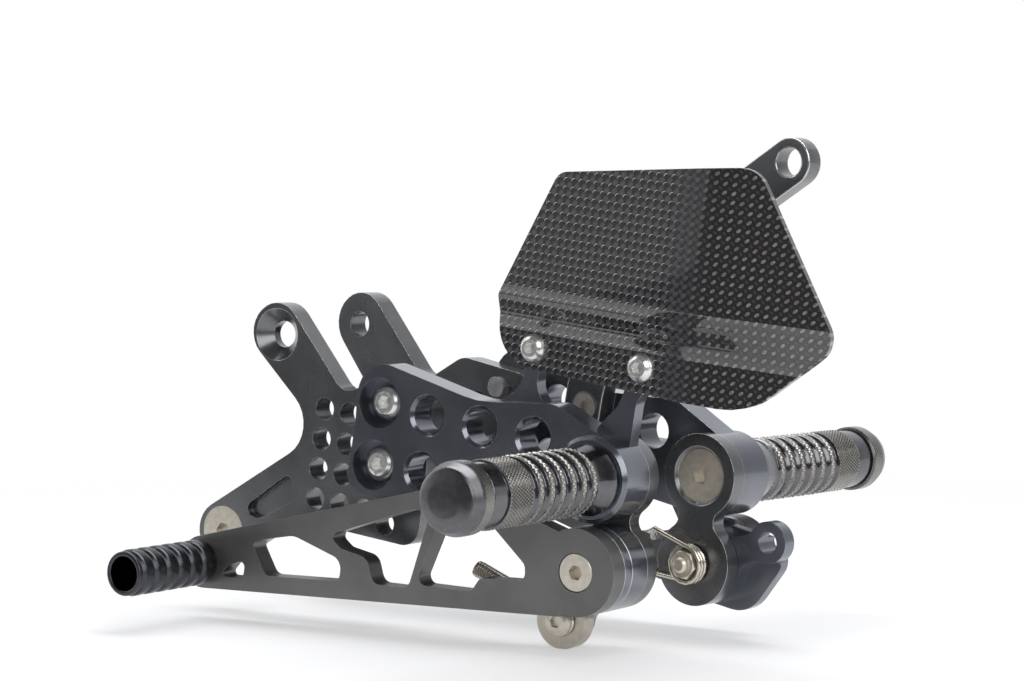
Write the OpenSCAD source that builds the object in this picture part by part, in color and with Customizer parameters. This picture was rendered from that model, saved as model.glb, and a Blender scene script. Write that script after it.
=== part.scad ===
// Pair of adjustable rear sets: left half with shift lever, right half with brake lever.
// Each half is laid out in its own frame: lever pivot at the origin, +X to the rear of the
// bike, +Z up, and -Y outboard. The right half is mirrored, and both are set in their stance.

/* [Stance] */
// Lean of the left half, nose up, degrees
left_tilt = 7.8; // [0:0.1:14]
// Lean of the right half, nose up, degrees
right_tilt = 11.3; // [0:0.1:14]
// Turn of the right half about the vertical, degrees
right_yaw = 6.7; // [0:0.1:9]
// Right pivot behind the left pivot
right_x = 19.2; // [10:0.1:30]
// Outer face of the right bracket beyond the outer face of the left bracket
right_y = 62; // [61:0.5:120]
// Right pivot above the left pivot
right_z = -1.1; // [-5:0.1:5]

/* [Lever plates] */
// Thickness of each lever plate
lever_t = 8; // [6:0.5:10]
// Radius of the round end at the pivot
lobe_r = 16; // [15:0.5:17]
// Toe peg axis ahead of the pivot
toe_x = 170.8; // [164:0.2:178]
// Toe peg axis below the pivot
toe_z = 31; // [29:0.2:33]
// Radius of the round end at the toe peg
toe_end_r = 9.4; // [9:0.1:10.5]
// Brake lever raised from the shift lever's angle, degrees
brake_raise = 14; // [6:0.5:18]

/* [Toe pegs] */
// Length of the toe peg tube
toe_peg_len = 46; // [36:1:56]
// Outer radius on the toe peg's ribs
toe_peg_r = 9; // [8.4:0.1:9.3]
// Bore radius of the tube
toe_bore_r = 6.6; // [6:0.1:7]
// Number of grip ribs
toe_ribs = 6; // [4:1:8]

/* [Foot pegs] */
// Peg length outboard of its seat, without the end cap
peg_len = 79; // [70:1:100]
// Barrel radius on the knurl
peg_r = 12; // [11:0.1:12.6]
// Radius of the collar at the seat
peg_collar_r = 13.2; // [12.8:0.1:13.8]
// Number of turned grooves
peg_grooves = 6; // [4:1:8]
// Groove pitch
peg_pitch = 7; // [5:0.25:7.5]
// Radius of the end cap's face
cap_r = 11; // [10:0.1:12]
// Radius of the end cap's rim
cap_rim_r = 12.7; // [12.2:0.1:13.6]
// End cap thickness
cap_t = 11; // [8:0.25:13]

/* [Brackets] */
// Thickness of the bracket plates
bracket_t = 12; // [11:0.5:16]
// Radius of the boss that carries the foot peg
boss_r = 15.8; // [15:0.1:16.5]
// Boss height in front of the bracket face
boss_h = 5; // [3:0.5:7]
// Spacing of the two bracket bolts
bolt_pitch = 24; // [22:0.5:25]
// Radius of the row of lightening holes
light_r = 6.75; // [5:0.25:7.5]

/* [Base plates] */
// Thickness of the base plates
base_t = 9; // [8:0.5:12]
// Radius of the round arm ends
arm_end_r = 12.4; // [12:0.1:13]
// Radius of the holes in the adjusting grid
grid_r = 4.4; // [3.5:0.1:4.8]
// Pitch of the adjusting grid
grid_pitch = 12; // [11:0.1:12.5]
// Radius of the frame bolt holes
frame_hole_r = 5.25; // [5.1:0.05:5.6]

/* [Pivots] */
// Thickness of the pivot plates
pivot_plate_t = 6.8; // [6:0.2:8]
// Thickness of the shift and brake arms
arm_t = 10.6; // [9.6:0.2:11.4]
// Thickness of the spacer between lever and arm
spacer_t = 5.2; // [4.4:0.2:6]
// Outer radius of the steel bush that a lever turns on
bush_r = 6; // [5.4:0.1:6.4]
// Radial running clearance on the bush
run_fit = 0.05; // [0.02:0.01:0.09]

/* [Heel guard] */
// Thickness of the carbon sheet
guard_t = 2.5; // [1.8:0.1:3]
// Inward fold of the guard's rear wing, degrees
guard_fold = 18; // [0:1:24]
// Outward step between the screw flange and the panel
guard_step = 2.5; // [1:0.25:3]

/* [Linkage] */
// Outer radius of the rod end's eye
eye_r = 10.5; // [9.5:0.1:10.8]
// Width of the rod end's eye
eye_w = 6.75; // [6:0.25:7.5]
// Ball radius
ball_r = 6.6; // [6:0.1:7]
// Distance from the ball to the tip of the shank
shank_len = 42; // [34:1:52]
// Radius of the threaded shank
shank_r = 3; // [2.5:0.1:3.4]
// Angle of the shank, degrees
shank_angle = 165; // [155:1:185]

/* [Hidden] */

$fn = 48;
cut = 1;           // how far a cutter passes its face
thread_fit = 0.03; // radial gap between a screw and its thread
hole_fit = 0.2;    // radial gap of a clearance hole

// Places across the stack, outboard side first
run_gap = 0.2;
arm_back = bracket_t - run_gap;
arm_front = arm_back - arm_t;
lever_back = arm_front - spacer_t;
lever_front = lever_back - lever_t;
plate_back = bracket_t + pivot_plate_t;
base_back = bracket_t + base_t;

// Screw sizes: shank radius, head radius, head height, hexagon across flats
m6 = [3, 5.25, 3.3, 4];
m8 = [4, 7, 4.4, 5];
m10 = [5, 10, 5.5, 6];

// Places in a half's own frame
peg_at = [-3.5, 32.7];
toe_at = [-toe_x, -toe_z];
bolt_at = [-102, 31.7];
left_hole = [-164, 60.3];
right_hole = [-181, 51.8];
lower_hole = [-181, -22.8];
tab_at = [[-38, 75], [8, 75]];
rod_at = [-11, -21.5];
ear_at = [26.5, 14.6];
hanger_screw_at = [[-60.5, 45.5], [-60.5, 27]];
hanger_hole = [13, 153.6];
pin_at = [-14.6, 7.2];

// Unit vector, and a vector turned a quarter turn to its left
function unit(v) = v / norm(v);
function left_of(v) = [-v[1], v[0]];
function polar(r, a) = [r * cos(a), r * sin(a)];
function xy(p) = [p[0], p[1]];
function wrap(a) = a > 180 ? a - 360 : a < -180 ? a + 360 : a;

// Half of the angle at corner b between a and c
function half_angle(a, b, c) = acos(unit(xy(a) - xy(b)) * unit(xy(c) - xy(b))) / 2;

// One corner [x, y, radius] between its neighbours, as points along its arc
function corner(a, b, c, r) =
    r <= 0 ? [xy(b)] :
    let (u = unit(xy(a) - xy(b)), w = unit(xy(c) - xy(b)),
        half = half_angle(a, b, c),
        start = xy(b) + u * r / tan(half),
        end = xy(b) + w * r / tan(half),
        centre = xy(b) + unit(u + w) * r / sin(half),
        from = atan2(start[1] - centre[1], start[0] - centre[0]),
        turn = wrap(atan2(end[1] - centre[1], end[0] - centre[0]) - from),
        steps = max(2, ceil(abs(turn) / 14)))
    [for (i = [0:steps]) centre + polar(r, from + turn * i / steps)];

// Closed outline with every corner rounded by its own radius, or by what its edges allow
function rounded(corners) =
    let (n = len(corners),
        reach = [for (i = [0:n - 1]) corners[i][2]
            / tan(half_angle(corners[(i + n - 1) % n], corners[i], corners[(i + 1) % n]))],
        room = [for (i = [0:n - 1]) norm(xy(corners[(i + 1) % n]) - xy(corners[i]))
            / max(0.001, reach[i] + reach[(i + 1) % n]) * 0.97])
    [for (i = [0:n - 1])
        each corner(corners[(i + n - 1) % n], corners[i], corners[(i + 1) % n],
            corners[i][2] * min(1, room[i], room[(i + n - 1) % n]))];

// The two corners of a round end at c, of an arm that points along the angle
function round_end(c, angle, r) =
    let (d = polar(r, angle), s = left_of(d))
    [[c[0] + d[0] - s[0], c[1] + d[1] - s[1], r],
     [c[0] + d[0] + s[0], c[1] + d[1] + s[1], r]];

// Corner offset to one side of a bent centre line
function offset_corner(a, b, c, w, r) =
    let (u = unit(b - a), v = unit(c - b), m = unit(left_of(u) + left_of(v)))
    let (p = b + m * w / (m * left_of(u)))
    [p[0], p[1], r];

// A plate seen from the side, between two places across the stack
module plate(y0, y1) {
    translate([0, y1, 0]) rotate([90, 0, 0]) linear_extrude(y1 - y0) children();
}

// A round bar or cutter across the stack; r1 is its radius at y1
module bar(at, r, y0, y1, r1 = -1) {
    translate([at[0], y1, at[1]]) rotate([90, 0, 0])
        cylinder(h = y1 - y0, r1 = r1 < 0 ? r : r1, r2 = r);
}

// Cutter for a hole that opens outboard through a chamfer of the given depth
module chamfered_hole(at, r, y0, y1, depth) {
    if (depth > 0) bar(at, r + depth + cut, y0 - cut, y0 + depth, r);
    bar(at, r, depth > 0 ? y0 + depth : y0 - cut, y1 + cut);
}

// A hexagon socket or prism across the stack
module hexagon(at, flats, y0, y1) {
    translate([at[0], y1, at[1]]) rotate([90, 0, 0])
        cylinder(h = y1 - y0, r = flats / 2 / cos(30), $fn = 6);
}

// A turned piece from [radius, height outboard] points
module turned(at, points) {
    translate([at[0], 0, at[1]]) rotate([90, 0, 0]) rotate_extrude($fn = 64) polygon(points);
}

module bar_2d(a, b, r) {
    side = left_of(unit(b - a)) * r;
    translate(a) circle(r);
    translate(b) circle(r);
    polygon([a - side, b - side, b + side, a + side]);
}

// Two round lobes joined by a waist with hollow sides
module link_2d(a, ra, b, rb, hollow) {
    span = norm(b - a);
    along = (pow(ra + hollow, 2) - pow(rb + hollow, 2) + span * span) / 2 / span;
    across = sqrt(pow(ra + hollow, 2) - along * along);
    u = unit(b - a);
    p = a + u * along + left_of(u) * across;
    q = a + u * along - left_of(u) * across;
    difference() {
        union() {
            translate(a) circle(ra);
            translate(b) circle(rb);
            polygon([a, q, b, p]);
        }
        translate(p) circle(hollow);
        translate(q) circle(hollow);
    }
}

// Button head screw, head outboard of its seat, shank running inboard
module button_screw(at, size, seat, length) {
    difference() {
        union() {
            bar(at, size[1] * 0.62, seat - size[2], seat - size[2] * 0.72, size[1] * 0.86);
            bar(at, size[1] * 0.86, seat - size[2] * 0.72, seat - size[2] * 0.34, size[1]);
            bar(at, size[1], seat - size[2] * 0.34, seat);
            bar(at, size[0], seat, seat + length);
        }
        hexagon(at, size[3], seat - size[2] - cut, seat - size[2] * 0.4);
    }
}

// Countersunk screw with its face at the place given; way is 1 to run inboard, -1 outboard
module flat_screw(at, size, face, length, way) {
    depth = size[1] - size[0];
    rim = 0.6;
    translate([0, face, 0]) mirror([0, way < 0 ? 1 : 0, 0]) difference() {
        union() {
            bar(at, size[1], 0, rim);
            bar(at, size[1], rim, rim + depth, size[0]);
            bar(at, size[0], rim + depth, length);
        }
        hexagon(at, size[3], -cut, size[2] * 0.55);
    }
}

// Seat for a countersunk screw, with a little room round its head
module flat_seat(at, size, face, length, way) {
    depth = size[1] - size[0];
    rim = 0.6;
    room = 0.1;
    translate([0, face, 0]) mirror([0, way < 0 ? 1 : 0, 0]) {
        bar(at, size[1] + room, -cut, rim);
        bar(at, size[1] + room, rim, rim + depth, size[0] + room);
        bar(at, size[0] + room, rim, length);
    }
}

// Stance of each half, with the left frame hole's inner mouth as the origin
function tilted(p, y, a) = [p[0] * cos(a) + p[1] * sin(a), y, p[1] * cos(a) - p[0] * sin(a)];
origin_at = tilted(left_hole, base_back, left_tilt);

module left_half() {
    translate(-origin_at) rotate([0, left_tilt, 0]) children();
}

module right_half() {
    translate([right_x, right_y, right_z] - origin_at)
        rotate([0, 0, -right_yaw]) rotate([0, right_tilt, 0]) mirror([0, 1, 0]) children();
}

// Base plates

// Outline of a base plate whose upper arm ends at the hole given
function base_outline(hole, lean, crook, heel) = concat(
    [[-85.5, -11, 8], [-85.5, 51, 8], [heel[0] + 18, 51, 9], heel],
    round_end(hole, lean, arm_end_r),
    [crook],
    round_end(lower_hole, 218.9, arm_end_r),
    [[-146.6, -11, 9]]);

grid_at = [-136.5, 35];

// The adjusting grid: three columns of four holes
module grid_holes() {
    for (i = [0:2], j = [0:3])
        bar([grid_at[0] + i * grid_pitch, grid_at[1] - j * grid_pitch],
            grid_r, bracket_t - cut, base_back + cut);
}

module bolt_holes(r, y0, y1) {
    for (s = [-0.5, 0.5]) bar([bolt_at[0], bolt_at[1] + s * bolt_pitch], r, y0, y1);
}

// Triangular relief milled into the lower arm
module arm_relief(depth) {
    plate(bracket_t - cut, bracket_t + depth)
        polygon(rounded([[-173.5, -13, 3], [-148.5, 8.5, 3], [-147.5, -4.5, 3], [-163.5, -14.5, 4]]));
}

module base_plate(outline, hole, sunk) {
    sink_depth = 5.2;
    difference() {
        plate(bracket_t, base_back) polygon(rounded(outline));
        grid_holes();
        bolt_holes(m8[0] + thread_fit, bracket_t - cut, base_back + cut);
        bar([bolt_at[0], bolt_at[1] - bolt_pitch * 1.5], grid_r, bracket_t - cut, base_back + cut);
        chamfered_hole(hole, frame_hole_r, bracket_t, base_back, sunk ? sink_depth : 0);
        arm_relief(3);
        flat_seat(lower_hole, m10, bracket_t, base_t + cut * 2, 1);
    }
}

module left_base_plate() {
    color("#2b2d33") left_half() base_plate(
        base_outline(left_hole, 137, [-137, 25.5, 14], [-128.5, 42.5, 7]), left_hole, true);
}

module right_base_plate() {
    color("#2b2d33") right_half() base_plate(
        base_outline(right_hole, 136, [-155.1, 12.9, 14], [-141.5, 36.5, 8]), right_hole, false);
}

// Brackets

function bracket_outline() = [[-113.8, 7, 8], [-70, 8.5, 20], [-48, 17.2, 14], [-3.5, 16.9, 0],
    [12.3, 32.7, 0], [-3.5, 48.5, 0], [-24, 56.5, 9], [-58, 51.8, 40], [-100, 59, 12],
    [-113.2, 57, 13], [-112.4, 34, 12]];

// Screw tabs of the heel guard, on the inner part of the bracket's thickness
module guard_tabs() {
    tab_t = 6;
    tab_r = 6.5;
    plate(bracket_t - tab_t, bracket_t) {
        translate(tab_at[0]) circle(tab_r);
        translate(tab_at[1]) circle(tab_r);
        polygon(rounded([[-55, 50, 0], [-28, 50, 0], [-36.8, 60, 9], [-36, 72, 9], [-38, 76, 2],
            [-43, 74, 3], [-42.6, 60, 9]]));
        polygon(rounded([[-14, 44, 0], [5.6, 40, 0], [6.2, 62, 9], [12, 73, 6], [8, 77, 2],
            [2.5, 74, 4], [-0.5, 60, 14]]));
    }
}

// Bracket plate with its peg boss, counterbored bolt seats and chamfered lightening holes
module bracket(holes, tabs) {
    sink = 7.2;
    sink_r = 9.7;
    rim = 1.25;
    edge = 1.4;
    difference() {
        union() {
            plate(0, bracket_t) polygon(rounded(bracket_outline()));
            bar(peg_at, boss_r, edge - boss_h, bracket_t);
            bar(peg_at, boss_r - edge, -boss_h, edge - boss_h, boss_r);
            if (tabs) guard_tabs();
        }
        bolt_holes(sink_r, -cut, sink);
        bolt_holes(m8[0] + hole_fit, 0, bracket_t + cut);
        for (h = holes) chamfered_hole(h, light_r, 0, bracket_t, rim);
        bar(peg_at, m10[0] + hole_fit, -boss_h - cut, bracket_t + cut);
        if (tabs) for (t = tab_at) bar(t, m6[0] + thread_fit, 0, bracket_t + cut);
        if (!tabs) for (t = hanger_screw_at) bar(t, m6[0] + thread_fit, 2, bracket_t + cut);
    }
}

light_row = [[-79.5, 42.7], [-55.5, 42.7], [-31.7, 42.7], [-79.5, 21]];

module left_bracket() {
    color("#33363f") left_half() bracket(light_row, true);
}

module right_bracket() {
    color("#33363f") right_half() bracket([light_row[0], light_row[2], light_row[3]], false);
}

// Pivot plates: a waisted link from the peg boss down to the lever pivot
module pivot_plate() {
    rim = 1.2;
    difference() {
        plate(bracket_t, plate_back) link_2d(peg_at, boss_r, [0, 0], lobe_r, 5);
        bar(peg_at, m10[0] + hole_fit, bracket_t - cut, plate_back + cut);
        flat_seat(peg_at, m10, plate_back - rim, pivot_plate_t + cut, -1);
        bar(peg_at, m10[1] + 0.1, plate_back - rim - cut, plate_back + cut);
        bar(peg_at, m10[1], plate_back - rim, plate_back + cut, m10[1] + rim + cut);
        bar([0, 0], m8[0] + hole_fit, bracket_t - cut, plate_back + cut);
    }
}

module left_pivot_plate() {
    color("#2b2d33") left_half() pivot_plate();
}

module right_pivot_plate() {
    color("#2b2d33") right_half() difference() {
        pivot_plate();
        bar(pin_at, pin_r + thread_fit, bracket_t + 2, plate_back + cut);
    }
}

// Bracket bolts, in their counterbores and through the base plate
module bracket_bolts() {
    seat = 7.2;
    proud = 3;
    for (s = [-0.5, 0.5])
        button_screw([bolt_at[0], bolt_at[1] + s * bolt_pitch], m8, seat,
            base_back - seat + proud);
}

module left_bracket_bolts() {
    color("#d9dadb") left_half() bracket_bolts();
}

module right_bracket_bolts() {
    color("#d9dadb") right_half() bracket_bolts();
}

// Frame screw in the left plate's lower arm
frame_screw_len = 30;
module left_frame_screw() {
    color("#cfc8ba") left_half() flat_screw(lower_hole, m10, bracket_t, frame_screw_len, 1);
}

// Foot pegs

peg_from = boss_h;
grooves_from = peg_from + 12;
knurl_from = grooves_from + peg_grooves * peg_pitch;
peg_to = peg_from + peg_len;
knurl_to = peg_to - 10;
band_r = peg_r - 0.5;
peg_bore_r = m10[0] + 0.08;
spigot = 12;
spigot_r = 3;
cap_rim = 6;

// Section of the peg: collar, ribs between grooves, knurled band, plain band and neck
function peg_section() = concat(
    [[peg_bore_r, peg_from], [peg_collar_r - 0.6, peg_from], [peg_collar_r, peg_from + 0.6],
     [peg_collar_r, peg_from + 2.4], [peg_r - 0.6, grooves_from - 1.4],
     [peg_r - 0.6, grooves_from]],
    [for (i = [0:peg_grooves - 1], s = [[-0.4, 0.3], [0, 0.9], [0, peg_pitch - 2.6],
        [-1.3, peg_pitch - 1.9], [-1.3, peg_pitch - 0.3]])
        [peg_r + s[0], grooves_from + i * peg_pitch + s[1]]],
    [[peg_r, knurl_from + 0.4], [peg_r, knurl_to], [band_r - 0.5, knurl_to],
     [band_r - 0.5, knurl_to + 0.6], [band_r, knurl_to + 1], [band_r, peg_to - 1.6],
     [band_r - 1.2, peg_to - 0.9], [band_r - 1.2, peg_to], [spigot_r + 0.1, peg_to],
     [spigot_r + 0.1, peg_to - spigot - 4], [peg_bore_r, peg_to - spigot - 4]]);

module foot_peg() {
    turned(peg_at, peg_section());
}

// Cap with a knurled rim, a cone and a domed face; its spigot sits in the peg's end
module peg_cap() {
    dome = 1.4;
    turned(peg_at, [[0, peg_to - spigot], [spigot_r, peg_to - spigot], [spigot_r, peg_to],
        [cap_rim_r - 0.8, peg_to], [cap_rim_r, peg_to + 0.6], [cap_rim_r, peg_to + cap_rim],
        [cap_r, peg_to + cap_t - 0.6], [cap_r - 0.8, peg_to + cap_t],
        [cap_r * 0.6, peg_to + cap_t + dome * 0.75], [cap_r * 0.3, peg_to + cap_t + dome * 0.95],
        [0, peg_to + cap_t + dome]]);
}

// Long countersunk bolt from the inner side into the peg
module peg_bolt() {
    grip = 34;
    rim = 1.2;
    flat_screw(peg_at, m10, plate_back - rim, plate_back - rim + peg_from + grip, -1);
}

module left_foot_peg() { color("#3a3c42") left_half() foot_peg(); }
module left_peg_cap() { color("#55575c") left_half() peg_cap(); }
module left_peg_bolt() { color("#cfc8ba") left_half() peg_bolt(); }
module right_foot_peg() { color("#3a3c42") right_half() foot_peg(); }
module right_peg_cap() { color("#55575c") right_half() peg_cap(); }
module right_peg_bolt() { color("#cfc8ba") right_half() peg_bolt(); }

// Heel guard: a stepped sheet, folded inward at the rear wing, cut to its outline

guard_back = bracket_t - 6;
fold_x = 22;

// Space inboard of the sheet's outer or inner face: screw flange, step and panel
module guard_side(face, spare) {
    step_at = [86, 93];
    rotate([90, 0, 90]) translate([0, 0, -100]) linear_extrude(220) polygon(rounded([
        [60, 50 - spare, 0], [face, 50 - spare, 0], [face, step_at[0], 5],
        [face - guard_step, step_at[1], 5], [face - guard_step, 170 + spare, 0],
        [60, 170 + spare, 0]]));
}

// That space folded at the crease, so that both runs meet on a mitre
module folded(face, spare) {
    intersection() {
        guard_side(face, spare);
        translate([fold_x, guard_back, 0]) rotate([0, 0, guard_fold])
            translate([-fold_x, -guard_back, 0]) guard_side(face, spare);
    }
}

function guard_outline() = [[-53.6, 67.6, 16], [48, 64.5, 24], [76, 93, 9],
    [42.5, 151.2, 9], [-34.5, 140.4, 6], [-54.8, 92.5, 4]];

module heel_guard() {
    color("#34363b") left_half() difference() {
        intersection() {
            folded(guard_back - guard_t, 0);
            plate(-30, 50) polygon(rounded(guard_outline()));
        }
        folded(guard_back, cut);
        for (t = tab_at) bar(t, m6[0] + hole_fit, -10, bracket_t);
    }
}

module guard_screws() {
    color("#d9dadb") left_half() for (t = tab_at)
        button_screw(t, m6, guard_back - guard_t, guard_t + 6);
}

// Levers

// Outline of a lever plate from the toe end over the brow to the pivot lobe
function lever_outline() = concat(
    round_end(toe_at, 194.5, toe_end_r),
    [[-5, -17.2, 0], [0, 0, 0], [2, 15, 0], [-7, 13, 8], [-19, 15.4, 10], [-45.5, 25.8, 9]]);

function lever_windows() = [
    [[-161.5, -35, 1.5], [-149.4, -33.2, 2.5], [-149.2, -26, 2], [-157.5, -29.6, 1.5]],
    [[-138.5, -30, 4], [-103.2, -24.8, 3], [-103.2, -16.6, 5], [-127, -11.8, 9], [-147.5, -18, 2.5]],
    [[-87.5, -22.5, 4], [-71.3, -20.7, 4], [-64.8, 10.6, 4.5], [-73.5, 8.8, 6], [-110.5, -8.2, 2],
     [-104, -12.2, 4], [-91.5, -13.2, 5]],
    [[-68.3, -18.6, 3], [-43.2, -16, 3], [-40.2, -10.4, 3], [-20.6, -7.4, 3], [-21.5, -1.5, 3.5],
     [-49, 18, 4], [-58, 14.6, 4]]];

// Blind dowel places that key lever, spacer and arm together
dowel_at = [polar(10.6, 62), polar(10.6, 152)];
dowel_r = 2;
head_recess = 2.4;
pivot_head_r = 6.9;
pivot_head_h = 2.2;

module lever_plate() {
    difference() {
        plate(lever_front, lever_back) difference() {
            union() {
                polygon(rounded(lever_outline()));
                circle(lobe_r);
            }
            for (w = lever_windows()) polygon(rounded(w));
        }
        bar([0, 0], bush_r + run_fit, lever_front - cut, lever_back + cut);
        bar([0, 0], pivot_head_r + 0.25, lever_front - cut, lever_front + head_recess);
        bar(toe_at, m6[0] + thread_fit, lever_front - cut, lever_back + cut);
        for (d = dowel_at)
            bar(d, dowel_r + thread_fit, lever_front + 3, lever_back + cut);
    }
}

// Ribbed toe peg, open at its outer end
module toe_peg() {
    root = -lever_front;
    tip = root + toe_peg_len;
    pitch = (toe_peg_len - 4) / toe_ribs;
    turned(toe_at, concat(
        [[m6[0] + hole_fit, root], [toe_peg_r - 1.2, root]],
        [for (i = [0:toe_ribs - 1], s = [[-1.2, 0.3], [-0.35, 1.1], [0, 2.2], [0, pitch - 2.2],
            [-0.35, pitch - 1.1], [-1.2, pitch - 0.3]])
            [toe_peg_r + s[0], root + 2 + i * pitch + s[1]]],
        [[toe_peg_r - 0.5, tip - 1.6], [toe_peg_r - 0.5, tip - 0.4], [toe_peg_r - 0.9, tip],
         [toe_bore_r + 0.4, tip], [toe_bore_r, tip - 0.4], [toe_bore_r, root + 6],
         [m6[0] + hole_fit, root + 6]]));
}

module toe_bolt() {
    button_screw(toe_at, m6, lever_front - 6, 6 + lever_t);
}

// Spacer and arm blanks share the pivot lobe and its keying
module keyed(y0, y1) {
    difference() {
        plate(y0, y1) children();
        bar([0, 0], bush_r + run_fit, y0 - cut, y1 + cut);
        for (d = dowel_at) bar(d, dowel_r + thread_fit, y0 - cut, y1 + cut);
    }
}

module dowels() {
    for (d = dowel_at) bar(d, dowel_r, lever_front + 3.2, arm_back - 1);
}

module pivot_bush() {
    difference() {
        bar([0, 0], bush_r, lever_front + pivot_head_h, bracket_t);
        bar([0, 0], m8[0] + thread_fit, lever_front, bracket_t + cut);
    }
}

nut_flats = 10;
nut_r = nut_flats / 2 / cos(30);
nut_len = 6.8;
bolt_end = plate_back + nut_len + 2.2;

module pivot_bolt() {
    difference() {
        union() {
            bar([0, 0], pivot_head_r - 0.3, lever_front, lever_front + 0.3, pivot_head_r);
            bar([0, 0], pivot_head_r, lever_front + 0.3, lever_front + pivot_head_h);
            bar([0, 0], m8[0], lever_front + pivot_head_h, plate_back - 0.4);
            bar([0, 0], m6[0], plate_back - 0.4 - cut, bolt_end - 0.9);
            bar([0, 0], m6[0], bolt_end - 0.9, bolt_end, m6[0] - 0.9);
        }
        hexagon([0, 0], m8[3], lever_front - cut, lever_front + 4);
    }
}

// Hexagon nut with chamfered corners and a countersunk thread
module pivot_nut() {
    chamfer = 1;
    difference() {
        intersection() {
            hexagon([0, 0], nut_flats, plate_back, plate_back + nut_len);
            union() {
                bar([0, 0], nut_r + cut, plate_back - cut, plate_back + nut_len - chamfer);
                bar([0, 0], nut_r + 0.1, plate_back + nut_len - chamfer - 0.01,
                    plate_back + nut_len + 0.01, nut_flats / 2 - 0.15);
            }
        }
        bar([0, 0], m6[0] + thread_fit, plate_back - cut, plate_back + nut_len + cut);
    }
}

module shift_lever() { color("#6b6d72") left_half() lever_plate(); }
module shift_toe_peg() { color("#2b2d33") left_half() toe_peg(); }
module shift_toe_bolt() { color("#d9dadb") left_half() toe_bolt(); }

// Room that the rod end's eye needs in the spacer and the arm
eye_room = eye_r + 0.7;
ball_w = 9;
arm_tail = arm_back - 3.8;
rod_y = arm_tail - ball_w / 2;

module shift_spacer() {
    color("#4a4c52") left_half() difference() {
        keyed(lever_back, arm_front) circle(lobe_r);
        bar(rod_at, eye_room, lever_back - cut, arm_front + cut);
    }
}

module shift_arm() {
    color("#3d3f45") left_half() difference() {
        keyed(arm_front, arm_back) link_2d([0, 0], lobe_r, rod_at, 8, 6);
        bar(rod_at, eye_room, arm_front - cut, arm_tail);
        bar(rod_at, m6[0] + thread_fit, arm_tail - cut, arm_back + cut);
    }
}

module shift_dowels() { color("#b9b9b6") left_half() dowels(); }
module shift_bush() { color("#b9b9b6") left_half() pivot_bush(); }
module shift_pivot_bolt() { color("#cfc8ba") left_half() pivot_bolt(); }
module shift_pivot_nut() { color("#cfc8ba") left_half() pivot_nut(); }

// Arc of a ball's section, from one face of its slice to the other
function ball_arc(r, width) =
    let (top = asin(width / 2 / r))
    [for (i = [0:8]) [r * cos(top * (i / 4 - 1)), r * sin(top * (i / 4 - 1))]];

// A ring turned about the rod end's own axis, from [radius, height] points
module rod_ring(points) {
    translate([rod_at[0], rod_y, rod_at[1]]) rotate([90, 0, 0])
        rotate_extrude($fn = 64) polygon(points);
}

// Bar along the rod end's shank, between two distances from the ball's centre
module shank_bar(r, from, to) {
    translate([rod_at[0], rod_y, rod_at[1]]) rotate([0, 90 - shank_angle, 0])
        translate([0, 0, from]) cylinder(h = to - from, r = r);
}

// Rod end: an eye round a ball, with a threaded shank
module rod_end() {
    half = eye_w / 2;
    edge = 0.5;
    wall_mid = (eye_r + ball_r) / 2;
    color("#b7b0a4") left_half() {
        rod_ring(concat(ball_arc(ball_r + run_fit, eye_w),
            [[eye_r - edge, half], [eye_r, half - edge], [eye_r, edge - half],
             [eye_r - edge, -half]]));
        shank_bar(shank_r + 0.3, wall_mid, eye_r + 4.5);
        shank_bar(shank_r, wall_mid, shank_len);
    }
}

module rod_end_ball() {
    bore = m6[0] + thread_fit;
    color("#cfcfcd") left_half()
        rod_ring(concat(ball_arc(ball_r, ball_w), [[bore, ball_w / 2], [bore, -ball_w / 2]]));
}

module rod_end_screw() {
    low_head = [m6[0], 5.6, 2.7, m6[3]];
    color("#cfc8ba") left_half() button_screw(rod_at, low_head, rod_y - ball_w / 2,
        arm_back - 0.4 - rod_y + ball_w / 2);
}

// Brake lever: the same plate set higher, with an eared arm and a return spring

module raised() {
    rotate([0, brake_raise, 0]) children();
}

module brake_lever() { color("#3d3f45") right_half() raised() lever_plate(); }
module brake_toe_peg() { color("#2b2d33") right_half() raised() toe_peg(); }
module brake_toe_bolt() { color("#d9dadb") right_half() raised() toe_bolt(); }
module brake_dowels() { color("#b9b9b6") right_half() raised() dowels(); }
module brake_bush() { color("#b9b9b6") right_half() pivot_bush(); }
module brake_pivot_bolt() { color("#cfc8ba") right_half() pivot_bolt(); }
module brake_pivot_nut() { color("#cfc8ba") right_half() pivot_nut(); }

module brake_spacer() {
    color("#4a4c52") right_half() raised() keyed(lever_back, arm_front) circle(lobe_r);
}

ear_r = 7.8;
ear_front = arm_back - 6;
rod_hole_r = 4;
leg_at = polar(20.5, 205);

// Arm with a thick belly, an ear for the push rod and a tail for the spring leg
module brake_arm() {
    belly = [[-4, -15.9, 4], [20, -15.6, 13], [31, 6, 7], [27, 15, 5], [0, 15, 0], [-10, 0, 0]];
    color("#33363f") right_half() difference() {
        union() {
            plate(arm_front, ear_front) {
                circle(lobe_r);
                polygon(rounded(belly));
            }
            plate(ear_front, arm_back) {
                link_2d([0, 0], lobe_r, ear_at, ear_r, 9);
                bar_2d([0, 0], leg_at, 3.4);
            }
        }
        bar([0, 0], bush_r + run_fit, arm_front - cut, arm_back + cut);
        bar(ear_at, rod_hole_r, arm_front - cut, arm_back + cut);
        bar(leg_at, wire_r + 0.25, arm_back - 4, arm_back + cut);
        raised() for (d = dowel_at) bar(d, dowel_r + thread_fit, arm_front - cut, arm_back + cut);
    }
}

// Torsion spring round the pivot nut, one leg on the pin and one in the arm's tail

wire_r = 0.85;
coil_r = nut_r + wire_r + 0.3;
coil_turns = 2;
coil_pitch = 2.1;
coil_from = plate_back + wire_r + 0.35;
pin_r = 1.5;
steps_per_turn = 14;

// Angle on the coil from which a straight leg runs to p; side is 1 for the leg that leaves
function leg_angle(p, side) = atan2(p[1], p[0]) + side * acos(coil_r / norm(p));

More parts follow.
